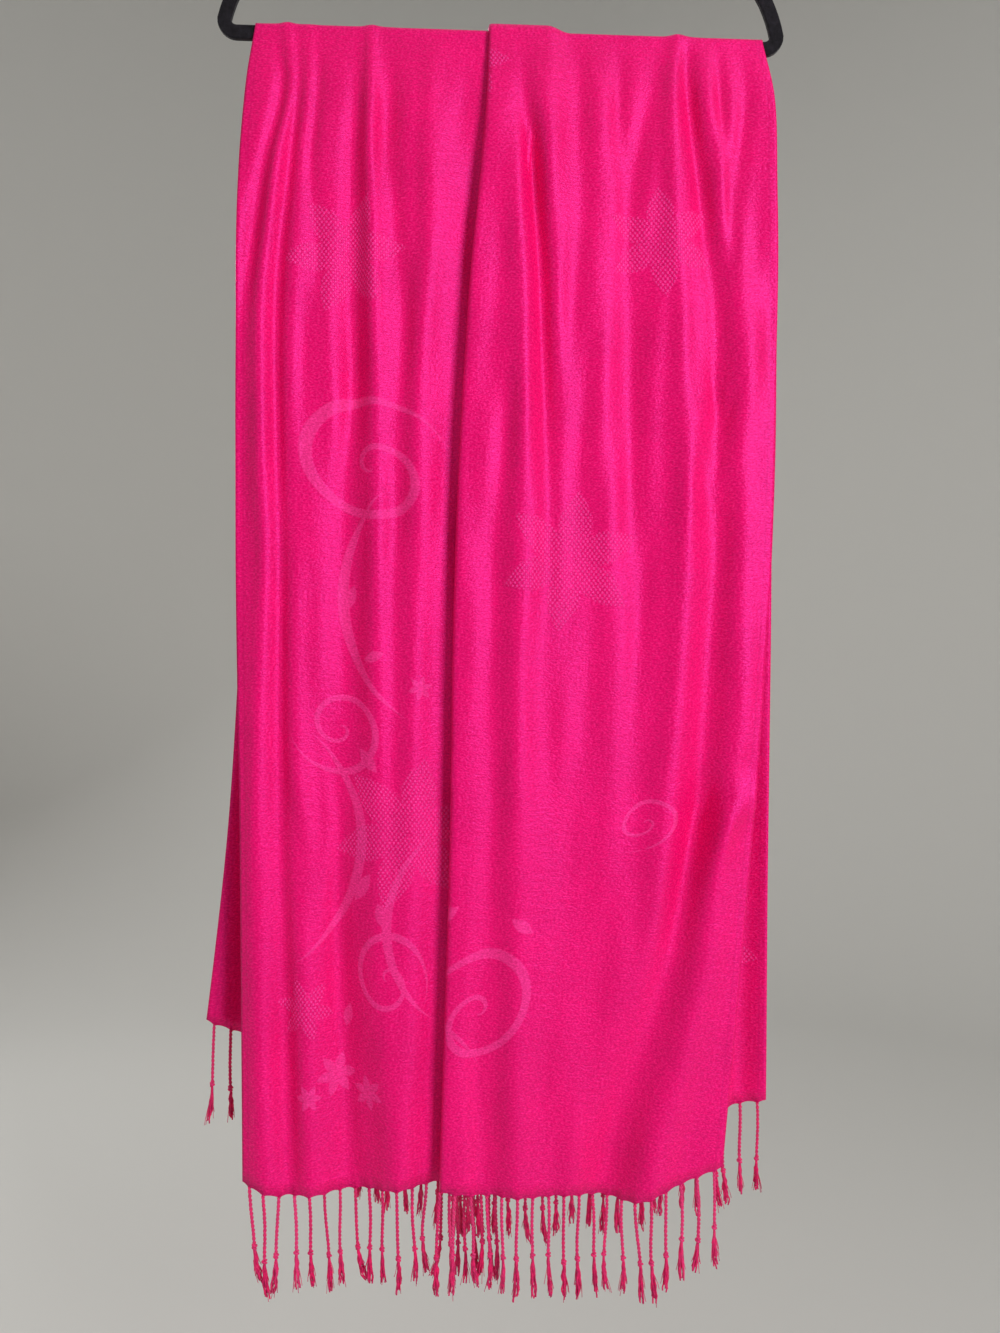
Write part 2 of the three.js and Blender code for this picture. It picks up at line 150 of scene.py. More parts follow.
BACK = {
    "side": 1,
    "flank": 0,
    "left_edge": (-198, -203, -208, -211, -213, -226, -256),
    "right_edge": (199, 206, 208, 210, 211, 209, 207),
    "hang": (0, 5, 8, 10, 11, 12, 13),
    "pleat": {
        "edge": (-17, -18, -20, -25, -30, -38, -45),
        "hidden": (92, 90, 86, 82, 76, 66, 50),
        "dip": (0, 2, 3, 4, 5, 5, 5),
        "ridge": (4.8, 6, 7, 8, 8, 8, 7),
        "hold": (46, 44, 42, 40, 38, 36, 32),
        "fade": (18, 24, 34, 40, 44, 46, 46),
    },
    "left": (
        fold((-171, -170, -184, -194, -188, -202, -222), (1.5, 3, 4, 5, 6, 8, 9), (11, 18)),
        fold((-150, -156, -152, -163, -155, -171, -180), (0, -2, -4, -5, -6, -6, -6), (11, 18)),
        fold((-104, -115, -115, -122, -133, -128, -140), (1.5, 3, 4, 5, 5, 6, 7), (12, 18)),
        fold((-80, -78, -90, -89, -99, -95, -104), (0, -2, -3, -4, -4, -5, -5), (12, 16)),
        fold((-50, -55, -51, -61, -58, -69, -70), (0, 2, 3, 4, 4, 5, 5), (14, 14)),
    ),
    "right": (
        fold((20, 27, 25, 34, 27, 29, 22), (0, -2, -4, -4, -5, -5, -5), (13, 13)),
        fold((46, 47, 58, 54, 64, 56, 56), (0, 2, 3, 4, 5, 5, 6), (15, 15)),
        fold((80, 90, 86, 98, 92, 100, 94), (0, -3, -4, -4, -5, -5, -6), (13, 14)),
        fold((136, 126, 130, 120, 128, 122, 128), (2, 3, 4, 5, 5, 6, 6), (9, 18)),
        fold((150, 149, 158, 152, 160, 154, 160), (0, -3, -4, -5, -5, -5, -6), (12, 14)),
        fold((180, 187, 184, 193, 187, 191, 186), (0, 2, 3, 4, 4, 5, 5), (13, 15)),
    ),
    "fall": ((0, 788), (0.06, 803), (0.3, 860), (0.5, 884), (0.75, 868), (1, 838)),
}

FRONT_CREASES = (
    crease("right", ((184, 566), (156, 584), (143, 612), (124, 716)), -4.0, 9, (0.5, 0)),
    crease("right", ((188, 590), (167, 604), (157, 640), (138, 730)), 5.0, 8, (0.5, 0)),
    crease("right", ((150, 230), (166, 300), (184, 262)), -2.5, 6),
    crease("right", ((140, 262), (160, 352), (190, 300)), 2.0, 8),
    crease("left", ((-176, 560), (-160, 640), (-158, 740)), -1.6, 7),
    crease("left", ((-150, 520), (-138, 620), (-146, 720)), 1.4, 6),
    crease("left", ((-132, 620), (-132, 740), (-122, 890)), -3.6, 9, (0.1, 0.7)),
    crease("left", ((-170, 720), (-174, 800), (-172, 890)), -3.0, 9, (0, 0.6)),
    crease("right", ((-22, 660), (-25, 780), (-23, 890)), -3.2, 9, (0, 0.8)),
)
BACK_CREASES = (
    crease("left", ((-186, 60), (-198, 190), (-186, 330), (-206, 470)), 3.2, 9, (0.3, 0)),
    crease("left", ((-138, 20), (-126, 150), (-140, 300), (-128, 440)), -3.0, 9, (0.3, 0)),
    crease("left", ((-66, 90), (-90, 240), (-74, 390), (-92, 560)), 3.0, 9),
    crease("left", ((-170, 480), (-150, 600), (-166, 720)), -3.0, 9),
    crease("left", ((-104, 500), (-124, 640), (-110, 790)), 3.2, 10, (0, 0.4)),
    crease("right", ((112, 30), (98, 170), (116, 320)), 3.4, 9, (0.3, 0)),
    crease("right", ((60, 300), (78, 430), (66, 580)), 3.0, 9),
    crease("right", ((168, 60), (178, 230), (164, 390), (176, 540)), -3.0, 9),
    crease("right", ((24, 420), (42, 560), (30, 720)), 3.0, 9),
    crease("right", ((116, 500), (150, 640), (140, 780)), -3.0, 10, (0, 0.3)),
)

# Columns of the sheet between two cords of the fringe, rows of its three stretches, how much the
# rows of a fall crowd towards the bar, and points along a section when its length is measured
STEPS_PER_CORD = 6
ROWS_FRONT = 104
ROWS_BEND = 9
ROWS_BACK = 92
FRONT_CROWDING = 1.25
BACK_CROWDING = 1.2
SECTION_STEPS = 900

# A cord of the fringe: length of a turn of its two plies and steps in it, loose strands and fine
# wisps of its tuft, steps of its knot, a strand and a wisp, and the shares of its UV at which its
# plies and its knot end
TWIST_PITCH = 6.5
STEPS_PER_TURN = 7
STRANDS = 6
WISPS = 9
KNOT_STEPS = 14
STRAND_STEPS = 11
WISP_STEPS = 5
PLY_END = 0.55
KNOT_END = 0.6

# The cords start this far up in the hem
CORD_OVERLAP = 0.0008


def linear(code, alpha=None):
    """A six-digit sRGB hex colour as linear values."""
    channels = [int(code[i:i + 2], 16) / 255 for i in (1, 3, 5)]
    values = [c / 12.92 if c <= 0.04045 else ((c + 0.055) / 1.055) ** 2.4 for c in channels]
    return tuple(values) if alpha is None else (*values, alpha)


class ShawlCloth(bpy.types.PropertyGroup):
    width: bpy.props.FloatProperty(
        name="Width", description="Width of the flat cloth between its selvages",
        default=0.51, min=0.3, max=1.0, unit="LENGTH")
    thick: bpy.props.FloatProperty(
        name="Thickness", description="Thickness of the woven cloth",
        default=0.0006, min=0.0002, max=0.002, unit="LENGTH")
    ripple: bpy.props.FloatProperty(
        name="Ripple", description="Height of the uneven ripples between the folds",
        default=0.0008, min=0.0, max=0.003, unit="LENGTH")
    ground: bpy.props.FloatVectorProperty(
        name="Ground", description="Colour of the plain satin ground",
        default=linear("#F20068"), size=3, min=0, max=1, subtype="COLOR")
    # The floats tone also colours the flecks that stand partly as painted glints of the sheen
    float_tone: bpy.props.FloatVectorProperty(
        name="Floats", description="Lighter tone of the weft floats and woven motifs",
        default=linear("#FF4098"), size=3, min=0, max=1, subtype="COLOR")


class ShawlFringe(bpy.types.PropertyGroup):
    cords: bpy.props.IntProperty(
        name="Cords", description="Twisted cords along each hem", default=40, min=10, max=80)
    length: bpy.props.FloatProperty(
        name="Length", description="Length of a cord from the hem to its tip",
        default=0.078, min=0.03, max=0.15, unit="LENGTH")
    ply: bpy.props.FloatProperty(
        name="Ply", description="Radius of each of the two plies of a cord",
        default=0.0008, min=0.0003, max=0.002, unit="LENGTH")
    colour: bpy.props.FloatVectorProperty(
        name="Yarn", description="Colour of the fringe yarn",
        default=linear("#EA0C5C"), size=3, min=0, max=1, subtype="COLOR")


class ShawlHanger(bpy.types.PropertyGroup):
    flock: bpy.props.FloatVectorProperty(
        name="Flock", description="Colour of the hanger's flock",
        default=linear("#0E0C10"), size=3, min=0, max=1, subtype="COLOR")


class ShawlStage(bpy.types.PropertyGroup):
    distance: bpy.props.FloatProperty(
        name="Camera distance", description="From the camera to the hanger's plane",
        default=0.788, min=0.3, max=5, unit="LENGTH")
    floor: bpy.props.FloatVectorProperty(
        name="Floor", description="Colour of the floor and of the backdrop it sweeps up into",
        default=linear("#D4D3CF"), size=3, min=0, max=1, subtype="COLOR")


def ease(share):
    """Smooth step from 0 to 1."""
    s = np.clip(share, 0.0, 1.0)
    return s * s * (3 - 2 * s)


def through(places, values, at):
    """Smooth curve through values that stand at the given places."""
    p = np.asarray(places, float)
    v = np.asarray(values, float)
    before = np.maximum(np.arange(len(p)) - 1, 0)
    after = np.minimum(np.arange(len(p)) + 1, len(p) - 1)
    slope = (v[after] - v[before]) / (p[after] - p[before])
    at = np.clip(at, p[0], p[-1])
    i = np.clip(np.searchsorted(p, at, side="right") - 1, 0, len(p) - 2)
    step = p[i + 1] - p[i]
    s = (at - p[i]) / step
    blend = ease(s)
    leave = s * (1 - s) ** 2 * step * slope[i]
    arrive = s * s * (1 - s) * step * slope[i + 1]
    return v[i] * (1 - blend) + v[i + 1] * blend + leave - arrive


def at_drop(values, drop):
    """A row of seven values read at a drop."""
    return through(DROPS, values, drop)


def bend_centre(x):
    """Height of the middle of the bar's rounded top, which falls to the right."""
    middle_x = -BAR_DROP * math.sin(TILT)
    middle_z = -BAR_DROP * math.cos(TILT) + BAR_HEIGHT / 2 - HANGER_THICK / 2
    return middle_z - (x - middle_x) * math.tan(TILT)


def pleat_at(fall, drop):
    """The pleat's hidden cloth, zone, edge and start along the cloth, and its two turns."""
    hidden = at_drop(fall["pleat"]["hidden"], drop)
    zone = hidden * PLEAT_ZONE
    # The cloth runs backwards between its two turns, this far on either side of the zone's middle
    swing = math.sqrt(1 - (2 / 3) * PLEAT_ZONE) / 2
    edge = at_drop(fall["pleat"]["edge"], drop) - at_drop(fall["left_edge"], drop)
    start = edge - (0.5 + swing) * zone + hidden * ease(0.5 + swing)
    return hidden, zone, edge, start, (0.5 - swing, 0.5 + swing)


def pleat_out(fall, drop, t):
    """Stand-off of the pleat: it dips on the left, turns twice and comes forward as a ridge."""
    hidden, zone, edge, start, turns = pleat_at(fall, drop)
    dip = at_drop(fall["pleat"]["dip"], drop)
    ridge = at_drop(fall["pleat"]["ridge"], drop)
    hold_end = edge + hidden + at_drop(fall["pleat"]["hold"], drop)
    out = -dip * ease((t - edge + DIP_WIDTH) / DIP_WIDTH)
    for turn in turns:
        out = out + (dip + ridge) / 2 * ease(((t - start) / zone - turn) / PLEAT_TURN + 0.5)
    return out - ridge * ease((t - hold_end) / at_drop(fall["pleat"]["fade"], drop))


def relief(fall, creases, drop, t):
    """Sum of the folds and creases at a place along the cloth."""
    left = at_drop(fall["left_edge"], drop)
    hidden = at_drop(fall["pleat"]["hidden"], drop)
    shift = {"left": 0 * hidden, "right": hidden}
    out = 0 * t
    for panel in ("left", "right"):
        for row in fall[panel]:
            top, hem = row["spread"]
            spread = top + (hem - top) * np.minimum(1, drop / DROPS[-1])
            middle = at_drop(row["x"], drop) - fall["flank"] * spread
            away = (t - (middle - left + shift[panel])) / spread
            out = out + at_drop(row["out"], drop) * np.exp(-away * away)
    for row in creases:
        out = out + crease_out(fall, row, drop, t)
    return out


def crease_out(fall, row, drop, t):
    """Height of one crease, which is highest halfway along its route."""
    points = []
    for x, depth in row["route"]:
        hidden = at_drop(fall["pleat"]["hidden"], depth) if row["panel"] == "right" else 0
        points.append((x - at_drop(fall["left_edge"], depth) + hidden, depth))
    nearest = np.full(np.shape(t), np.inf)
    share = np.zeros(np.shape(t))
    pieces = len(points) - 1
    for i, (a, b) in enumerate(zip(points, points[1:])):
        run = (b[0] - a[0], b[1] - a[1])
        length = run[0] ** 2 + run[1] ** 2
        s = np.clip(((t - a[0]) * run[0] + (drop - a[1]) * run[1]) / length, 0, 1)
        away = np.hypot(t - a[0] - s * run[0], drop - a[1] - s * run[1])
        closer = away < nearest
        nearest = np.where(closer, away, nearest)
        share = np.where(closer, (i + s) / pieces, share)
    first, last = row["ends"]
    rise = first + (1 - first) * ease(2 * share)
    sink = last + (1 - last) * ease(2 - 2 * share)
    return row["out"] * np.minimum(rise, sink) * np.exp(-(nearest / row["width"]) ** 2)


def section(fall, creases, share, drop):
    """x and stand-off of a fall's section at shares from the left selvage to the right one."""
    left = at_drop(fall["left_edge"], drop)
    hidden, zone, _, start, _ = pleat_at(fall, drop)
    t = share * (at_drop(fall["right_edge"], drop) - left + hidden)
    x = left + t - hidden * ease((t - start) / zone)
    out = BEND_RADIUS + at_drop(fall["hang"], drop) + pleat_out(fall, drop, t)
    out = out + relief(fall, creases, drop, t) * (1 + FOLD_GAIN * ease(drop / FULL_GAIN_DROP))
    return x, out, t


def ripples(t, drop, height):
    """Uneven ripples between the folds, which grow below the bar and ease further down."""
    dice = random.Random(7)
    out = 0 * t
    for _ in range(RIPPLE_WAVES):
        across = dice.uniform(*RIPPLE_ACROSS) * dice.choice((-1, 1))
        down = dice.uniform(*RIPPLE_DOWN)
        phase = dice.uniform(0, 2 * math.pi)
        out = out + np.sin(2 * math.pi * (t / across + drop / down) + phase)
    first, last, share = RIPPLE_EASING
    eased = 1 - share * ease((drop - first) / (last - first))
    return out * height / math.sqrt(RIPPLE_WAVES) * ease(drop / RIPPLE_FULL) * eased


def even_shares(fall, creases, flat, drop):
    """Shares of a section whose arc lengths are the given shares of the flat width."""
    dense = np.linspace(0, 1, SECTION_STEPS)
    x, out, _ = section(fall, creases, dense, np.full(dense.shape, float(drop)))
    length = np.concatenate(([0], np.cumsum(np.hypot(np.diff(x), np.diff(out)))))
    return np.interp(flat, length / length[-1], dense)


def fall_length(fall, flat):
    """Length of a fall from the bar to its hem, at shares of the flat width."""
    places, lengths = zip(*fall["fall"])
    return through(places, lengths, flat)


def drape(cords, ripple):
    """Rows of points from the front hem over the bar to the back hem, with their flat places."""
    flat = np.arange(cords * STEPS_PER_CORD + 1) / (cords * STEPS_PER_CORD)
    between = (np.arange(len(flat)) - STEPS_PER_CORD / 2) / STEPS_PER_CORD
    scallop = SCALLOP_HEIGHT * np.abs(np.sin(math.pi * between)) ** SCALLOP_ROUNDNESS
    half_bend = BEND_RADIUS * math.pi / 2

    def hanging(fall, creases, share):
        near_hem = ease((share - 1 + SCALLOP_SHARE) / SCALLOP_SHARE)
        length = fall_length(fall, flat) - scallop * near_hem
        drop = share * length
        even = even_shares(fall, creases, flat, float(np.mean(drop)))
        x, out, t = section(fall, creases, even, drop)
        out = out + ripples(t + RIPPLE_SHIFT * fall["side"], drop, ripple)
        points = np.stack((x, fall["side"] * out, bend_centre(x) - drop), axis=1)
        return points, fall["side"] * (drop + half_bend)

    rows, along = [], []
    spacing = np.linspace(0, 1, ROWS_FRONT + 1)[1:] ** FRONT_CROWDING
    for share in spacing[::-1]:
        points, place = hanging(FRONT, FRONT_CREASES, share)
        rows.append(points)
        along.append(place)
    nothing = np.zeros(len(flat))
    even = even_shares(FRONT, (), flat, 0)
    front_x, front_out, _ = section(FRONT, (), even, nothing)
    back_x, back_out, _ = section(BACK, (), even_shares(BACK, (), flat, 0), nothing)
    for k in range(ROWS_BEND + 1):
        turn = k / ROWS_BEND
        angle = turn * math.pi
        x = front_x + (back_x - front_x) * ease(turn)
        out = front_out + (back_out - front_out) * ease(turn)
        height = bend_centre(x) + out * math.sin(angle)
        rows.append(np.stack((x, -out * math.cos(angle), height), axis=1))
        along.append(np.full(len(flat), (2 * turn - 1) * half_bend))
    spacing = np.linspace(0, 1, ROWS_BACK + 1)[1:] ** BACK_CROWDING
    for share in spacing:
        points, place = hanging(BACK, BACK_CREASES, share)
        rows.append(points)
        along.append(place)
    return np.array(rows) * MM, flat, np.array(along) * MM


def new_mesh(name, points, faces, uvs=None):
    """A mesh object of points in metres, its faces smooth, with a UV pair for each point."""
    mesh = bpy.data.meshes.new(name)
    mesh.from_pydata(points.tolist(), [], faces)
    mesh.update()
    if uvs is not None:
        layer = mesh.uv_layers.new(name="flat")
        corners = np.empty(len(mesh.loops), int)
        mesh.loops.foreach_get("vertex_index", corners)
        layer.data.foreach_set("uv", np.asarray(uvs)[corners].ravel())
    mesh.polygons.foreach_set("use_smooth", [True] * len(mesh.polygons))
    obj = bpy.data.objects.new(name, mesh)
    bpy.context.scene.collection.objects.link(obj)
    return obj


def only(obj):
    """Makes obj the one selected and active object."""
    for other in bpy.context.selected_objects:
        other.select_set(False)
    obj.select_set(True)
    bpy.context.view_layer.objects.active = obj


def add(tree, kind, inputs=None, out=0, **settings):
    """One shader node with its settings and inputs, linked or filled; gives back an output."""
    node = tree.nodes.new("ShaderNode" + kind)
    for name, value in settings.items():
        setattr(node, name, value)
    for name, value in (inputs or {}).items():
        if isinstance(value, bpy.types.NodeSocket):
            tree.links.new(value, node.inputs[name])
        else:
            node.inputs[name].default_value = value
    return node.outputs[out] if node.outputs else None


def new_material(name):
    """An empty material and its node tree."""
    material = bpy.data.materials.new(name)
    material.use_nodes = True
    material.node_tree.nodes.clear()
    return material, material.node_tree


# Woven motifs on the flat cloth. A row says how far across from the left selvage and how far along
# from the bar a motif lies, below zero on the front fall and above zero on the back one, then its
# size, its turn in degrees and how much it is stretched.
MOTIFS = {
    "flowers": (
        (92, -185, 50, 8, 1),
        (421, -168, 44, 35, 1),
        (352, -418, 56, 22, 1),
        (138, -632, 62, 14, 1),
        (56, -770, 26, 50, 1),
        (262, -30, 34, 0, 1),
        (110, 260, 52, 20, 1),
        (400, 210, 46, 5, 1),
        (330, 520, 58, 40, 1),
        (455, 720, 50, 12, 1),
        (120, 640, 60, 28, 1),
    ),
    "blossoms": (
        (84, -822, 18, 10, 1),
        (112, -834, 14, 40, 1),
        (60, -838, 11, 0, 1),
        (150, -520, 10, 15, 1),
        (330, 800, 18, 10, 1),
        (364, 812, 13, 35, 1),
    ),
    "scrolls": (
        (114, -352, 54, 250, 1.3),
        (84, -552, 36, 60, 1.1),
        (128, -745, 32, 200, 1.25),
        (300, -768, 44, 320, -1.3),
        (409, -618, 20, 120, 1.5),
        (250, 330, 50, 30, 1.3),
        (210, 760, 46, 140, -1.3),
        (420, 440, 34, 280, 1.2),
    ),
    "stems": (
        (196, -450, 110, 130, 1),
        (-10, -640, 110, -60, 1),
        (215, -700, 90, 130, 1),
        (236, -848, 80, 30, 1),
        (180, 560, 150, -60, 1),
        (330, 640, 120, 110, 1),
    ),
    "leaves": (
        (88, -462, 22, 70, 1),
        (104, -500, 19, 20, 1),
        (116, -586, 24, 130, 1),
        (96, -686, 26, 60, 1),
        (124, -706, 22, 110, 1),
        (92, -786, 20, 80, 1),
        (258, -700, 24, 40, 1),
        (338, -704, 22, 150, 1),
        (150, 480, 26, 60, 1),
        (260, 600, 26, 120, 1),
    ),
}
# Nearest and farthest place from its centre that a motif fills, in its own size
REACH = {
    "flowers": (0, 1.1),
    "blossoms": (0, 1.4),
    "scrolls": (0, 1.15),
    "stems": (0.86, 1.14),
    "leaves": (0, 1.3),
}
STEM_SWEEP = math.radians(110)
SCROLL_TURNS = 1.5
NOWHERE = 9.0

# Spacing of the bird's-eye dots across and down the cloth, and the selvage's band and line
EYES_ACROSS = 0.0034
EYES_DOWN = 0.0046
SELVAGE = 0.006
SELVAGE_LINE = 0.0007


def place_motifs(sheet, flat):
    """One UV map for each kind of motif: places around its centre in its own size, or NOWHERE."""
    mesh = sheet.data
    faces = flat[np.array([list(face.vertices) for face in mesh.polygons])] / MM
    for kind, rows in MOTIFS.items():
        local = np.full(faces.shape, NOWHERE)
        for across, along, size, degrees, stretch in rows:
            turn = math.radians(degrees)
            away = (faces - (across, along)) / size
            turned = np.stack((
                away[..., 0] * math.cos(turn) + away[..., 1] * math.sin(turn),
                (away[..., 1] * math.cos(turn) - away[..., 0] * math.sin(turn)) / stretch,
            ), axis=-1)
            middle = turned.mean(axis=1)
            radius = np.hypot(middle[:, 0], middle[:, 1])
            near = (radius >= REACH[kind][0]) & (radius <= REACH[kind][1])
            if kind == "stems":
                near &= np.arctan2(middle[:, 1], middle[:, 0]) % (2 * math.pi) < STEM_SWEEP
            local[near] = turned[near]
        layer = mesh.uv_layers.new(name=kind)
        layer.data.foreach_set("uv", local.ravel())


def around(tree, kind):
    """A motif's own places: across, along, distance from the centre and angle round it."""
    place = add(tree, "UVMap", uv_map=kind)
    radius = add(tree, "VectorMath", {0: place}, out="Value", operation="LENGTH")
    x = add(tree, "SeparateXYZ", {0: place}, out="X")
    y = x.node.outputs["Y"]
    angle = add(tree, "Math", {0: y, 1: x}, operation="ARCTAN2")
    return x, y, radius, angle


def lens(tree, share, half, tip):
    """Half width at shares of a lens's length: half less tip in the middle, below zero at the ends."""
    capped = add(tree, "Math", {0: share, 1: 1.0}, operation="MINIMUM")
    angle = add(tree, "Math", {0: capped, 1: math.pi}, operation="MULTIPLY")
    swell = add(tree, "Math", {0: angle}, operation="SINE")
    return add(tree, "Math", {0: swell, 1: half, 2: -tip}, operation="MULTIPLY_ADD")


def petals(tree, kind):
    """Six pointed petals round a centre, above zero inside them."""
    _, _, radius, angle = around(tree, kind)
    wedge = add(tree, "Math", {0: angle, 1: math.pi / 6}, operation="PINGPONG")
    ahead = add(tree, "Math", {0: wedge}, operation="COSINE")
    ahead = add(tree, "Math", {0: ahead, 1: radius}, operation="MULTIPLY")
    side = add(tree, "Math", {0: wedge}, operation="SINE")
    side = add(tree, "Math", {0: side, 1: radius}, operation="MULTIPLY")
    half = lens(tree, ahead, 0.235, 0.01)
    return add(tree, "Math", {0: half, 1: side}, operation="SUBTRACT")


def scroll(tree, kind):
    """A spiral band that widens outwards, above zero on the band."""
    _, _, radius, angle = around(tree, kind)
    lap = add(tree, "Math", {0: angle, 1: 1 / (2 * math.pi)}, operation="MULTIPLY")
    arm = add(tree, "Math", {0: radius, 1: SCROLL_TURNS, 2: lap}, operation="MULTIPLY_ADD")
    whole = add(tree, "Math", {0: arm}, operation="ROUND")
    off = add(tree, "Math", {0: arm, 1: whole}, operation="SUBTRACT")
    away = add(tree, "Math", {0: off}, operation="ABSOLUTE")
    half = add(tree, "Math", {0: radius, 1: 0.085, 2: 0.04}, operation="MULTIPLY_ADD")
    band = add(tree, "Math", {0: half, 1: away}, operation="SUBTRACT")
    outer = add(tree, "Math", {0: 1.0, 1: radius}, operation="SUBTRACT")
    return add(tree, "Math", {0: band, 1: outer}, operation="MINIMUM")


def stem(tree, kind):
    """Part of a circle, thin at both ends, above zero on the line."""
    _, _, radius, angle = around(tree, kind)
    turned = add(tree, "Math", {0: angle, 1: 2 * math.pi}, operation="FLOORED_MODULO")
    share = add(tree, "Math", {0: turned, 1: 1 / STEM_SWEEP}, operation="MULTIPLY")
    half = lens(tree, share, 0.042, 0.002)
    off = add(tree, "Math", {0: radius, 1: 1.0}, operation="SUBTRACT")
    away = add(tree, "Math", {0: off}, operation="ABSOLUTE")
    return add(tree, "Math", {0: half, 1: away}, operation="SUBTRACT")


def leaf(tree, kind):
    """A lens-shaped leaf from its stalk's place, above zero inside it."""
    x, y, _, _ = around(tree, kind)
    run = add(tree, "Math", {0: x, 1: 0.0}, operation="MAXIMUM")
    half = lens(tree, run, 0.22, 0.01)
    away = add(tree, "Math", {0: y}, operation="ABSOLUTE")
    return add(tree, "Math", {0: half, 1: away}, operation="SUBTRACT")


def inside(tree, value, soft):
    """1 where a motif's value is above zero and 0 elsewhere, with a soft edge."""
    inputs = {"Value": value, "From Min": -soft, "From Max": soft}
    return add(tree, "MapRange", inputs, interpolation_type="SMOOTHSTEP")


def shawl_material(props):
    """Viscose and silk jacquard satin: weft floats catch the light in fine horizontal streaks,
    and the motifs are the same yarn in a bird's-eye weave, so they show only tone on tone."""
    material, tree = new_material("viscose_jacquard_satin")
    flat = add(tree, "UVMap", uv_map="flat")
    flower = inside(tree, petals(tree, "flowers"), 0.02)
    solid = inside(tree, petals(tree, "blossoms"), 0.04)
    curls = inside(tree, scroll(tree, "scrolls"), 0.02)
    lines = inside(tree, stem(tree, "stems"), 0.006)
    leaves = inside(tree, leaf(tree, "leaves"), 0.03)
    drawn = curls
    for motif in (lines, leaves, solid):
        drawn = add(tree, "Math", {0: drawn, 1: motif}, operation="MAXIMUM")

    # Bird's-eye dots in staggered rows fill the flowers
    across = add(tree, "SeparateXYZ", {0: flat}, out="X")
    down = across.node.outputs["Y"]
    waves = []
    for place, spacing in ((across, EYES_ACROSS), (down, EYES_DOWN)):
        wave = add(tree, "Math", {0: place, 1: 2 * math.pi / spacing}, operation="MULTIPLY")
        waves.append(add(tree, "Math", {0: wave}, operation="COSINE"))
    dots = add(tree, "Math", {0: waves[0], 1: waves[1]}, operation="MULTIPLY")
    dots = add(tree, "MapRange", {"Value": dots, "From Min": -0.1, "From Max": 0.5},
               interpolation_type="SMOOTHSTEP")
    eyes = add(tree, "Math", {0: dots, 1: flower}, operation="MULTIPLY")

    # Weft floats 4 mm long and 1.4 mm high, and specks 2 mm long and 1.3 mm high: real threads are
    # finer, and these are drawn as coarse as they need to show
    place = add(tree, "Mapping", {"Vector": flat, "Scale": (250, 720, 1)})
    inputs = {"Vector": place, "Scale": 1.0, "Detail": 3.0, "Roughness": 0.75, "Distortion": 0.5}
    grain = add(tree, "TexNoise", inputs, noise_dimensions="2D")
    place = add(tree, "Mapping", {"Vector": flat, "Scale": (500, 780, 1)})
    fine = add(tree, "TexNoise", {"Vector": place, "Scale": 1.0, "Detail": 1.0}, noise_dimensions="2D")
    # Slanting crinkles 13 mm long and 5 mm apart, where the washed cloth never lies quite flat
    place = add(tree, "Mapping", {"Vector": flat, "Rotation": (0, 0, 0.4), "Scale": (75, 210, 1)})
    inputs = {"Vector": place, "Scale": 1.0, "Detail": 1.0}
    crinkle = add(tree, "TexNoise", inputs, noise_dimensions="2D")
    # Uneven dye and wear in soft patches 45 mm wide
    inputs = {"Vector": flat, "Scale": 22.0, "Detail": 2.0}
    patchy = add(tree, "TexNoise", inputs, noise_dimensions="2D")

    ranges = []
    for noise, low, high, least, most in (
        (grain, 0.35, 0.65, 0.88, 1.09),
        (fine, 0.3, 0.7, 0.9, 1.08),
        (patchy, 0.3, 0.7, 0.95, 1.04),
    ):
        inputs = {"Value": noise, "From Min": low, "From Max": high, "To Min": least, "To Max": most}
        ranges.append(add(tree, "MapRange", inputs))
    streak, speck, dull = ranges
    depth = add(tree, "Math", {0: streak, 1: speck}, operation="MULTIPLY")
    depth = add(tree, "Math", {0: depth, 1: dull}, operation="MULTIPLY")
    tone = add(tree, "Math", {0: eyes, 1: 0.82}, operation="MULTIPLY")
    tone = add(tree, "Math", {0: drawn, 1: 0.5, 2: tone}, operation="MULTIPLY_ADD")
    # The plain ground is flecked with the lighter floats tone: partly the weave's floats, partly
    # painted glints of the satin's sheen
    floats_and_painted_glints = add(tree, "MapRange", {"Value": fine, "From Min": 0.42, "From Max": 0.75, "To Max": 0.26})
    tone = add(tree, "Math", {0: tone, 1: floats_and_painted_glints}, operation="ADD")
    tone = add(tree, "Math", {0: tone, 1: streak}, operation="MULTIPLY", use_clamp=True)
    ground = (*props.ground, 1)
    floats = (*props.float_tone, 1)
    colour = add(tree, "Mix", {0: tone, 6: ground, 7: floats}, out=2, data_type="RGBA")
    colour = add(tree, "VectorMath", {0: colour, 1: depth}, operation="MULTIPLY")

    # Selvages: a denser band with a thin line at its inner side
    half = props.width / 2
    centred = add(tree, "Math", {0: across, 1: half}, operation="SUBTRACT")
    away = add(tree, "Math", {0: centred}, operation="ABSOLUTE")
    inward = add(tree, "Math", {0: half, 1: away}, operation="SUBTRACT")
    line = add(tree, "Math", {0: inward, 1: SELVAGE, 2: SELVAGE_LINE}, operation="COMPARE")
    band = add(tree, "Math", {0: inward, 1: SELVAGE}, operation="LESS_THAN")
    edge = add(tree, "Math", {0: band, 1: 0.25, 2: line}, operation="MULTIPLY_ADD")
    deeper = (*(c * 0.6 for c in props.ground), 1)
    edge_mix = add(tree, "Math", {0: edge, 1: 0.2}, operation="MULTIPLY")
    colour = add(tree, "Mix", {0: edge_mix, 6: colour, 7: deeper}, out=2, data_type="RGBA")

